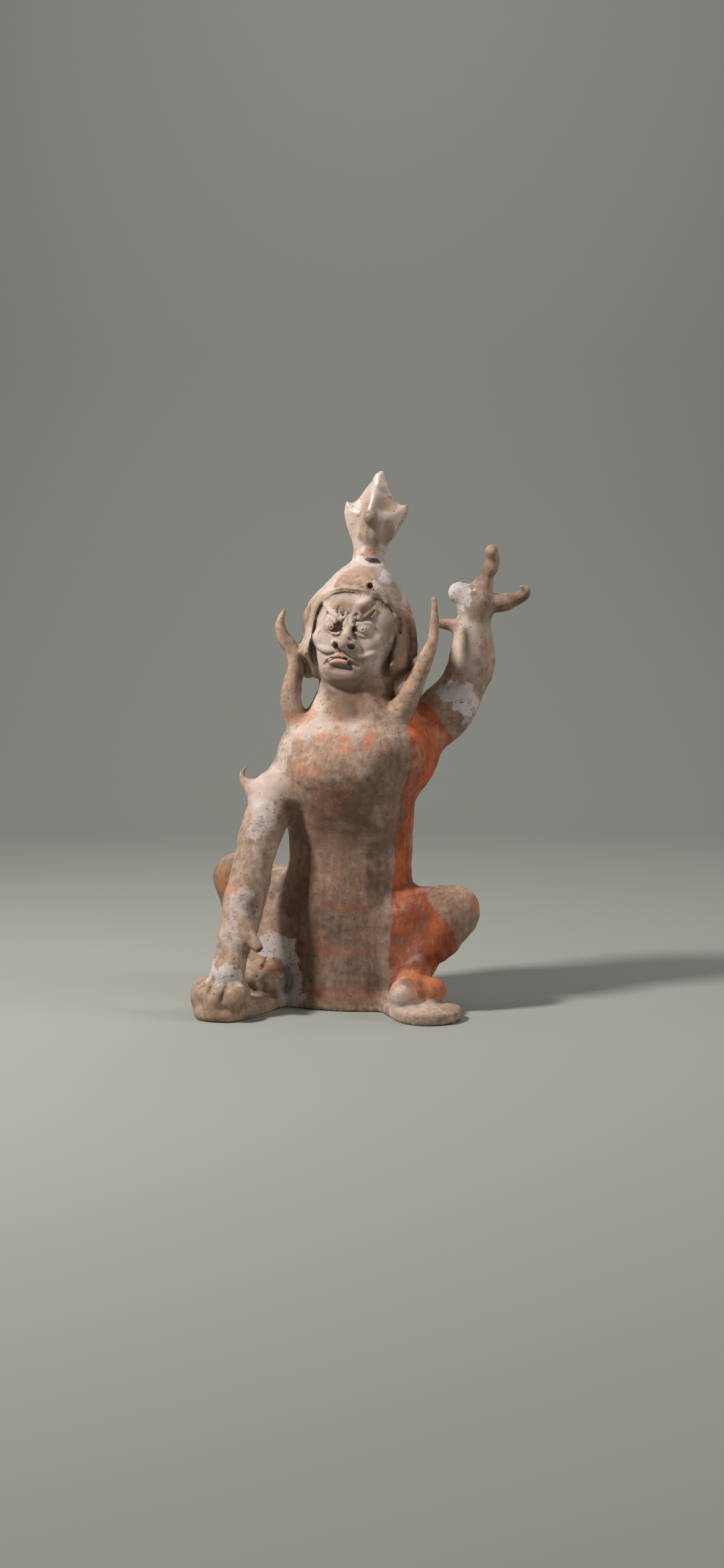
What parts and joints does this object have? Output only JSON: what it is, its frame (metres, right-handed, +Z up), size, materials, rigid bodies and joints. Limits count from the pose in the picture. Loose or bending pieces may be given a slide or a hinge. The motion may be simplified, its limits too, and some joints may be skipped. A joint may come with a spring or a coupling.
{
  "type": "tomb guardian beast figure",
  "caption": "Seated tomb guardian beast in fired clay: a horned human-faced beast with shoulder wings, one foreleg planted and one raised, built together with its low slab.",
  "frame": {"origin": "on the flat underside of the slab, below the middle of the trunk", "axes": "+Z up through the trunk, -Y the way the beast faces, +X to the beast's own left"},
  "size_m": [0.3856, 0.3048, 0.6592],
  "materials": {
    "painted_clay": "matt low-fired clay with worn slip, orange and red paint, soot and plaster fills"
  },
  "bodies": {
    "root": {"tomb_guardian_beast": "painted_clay"}
  },
  "joints": []
}
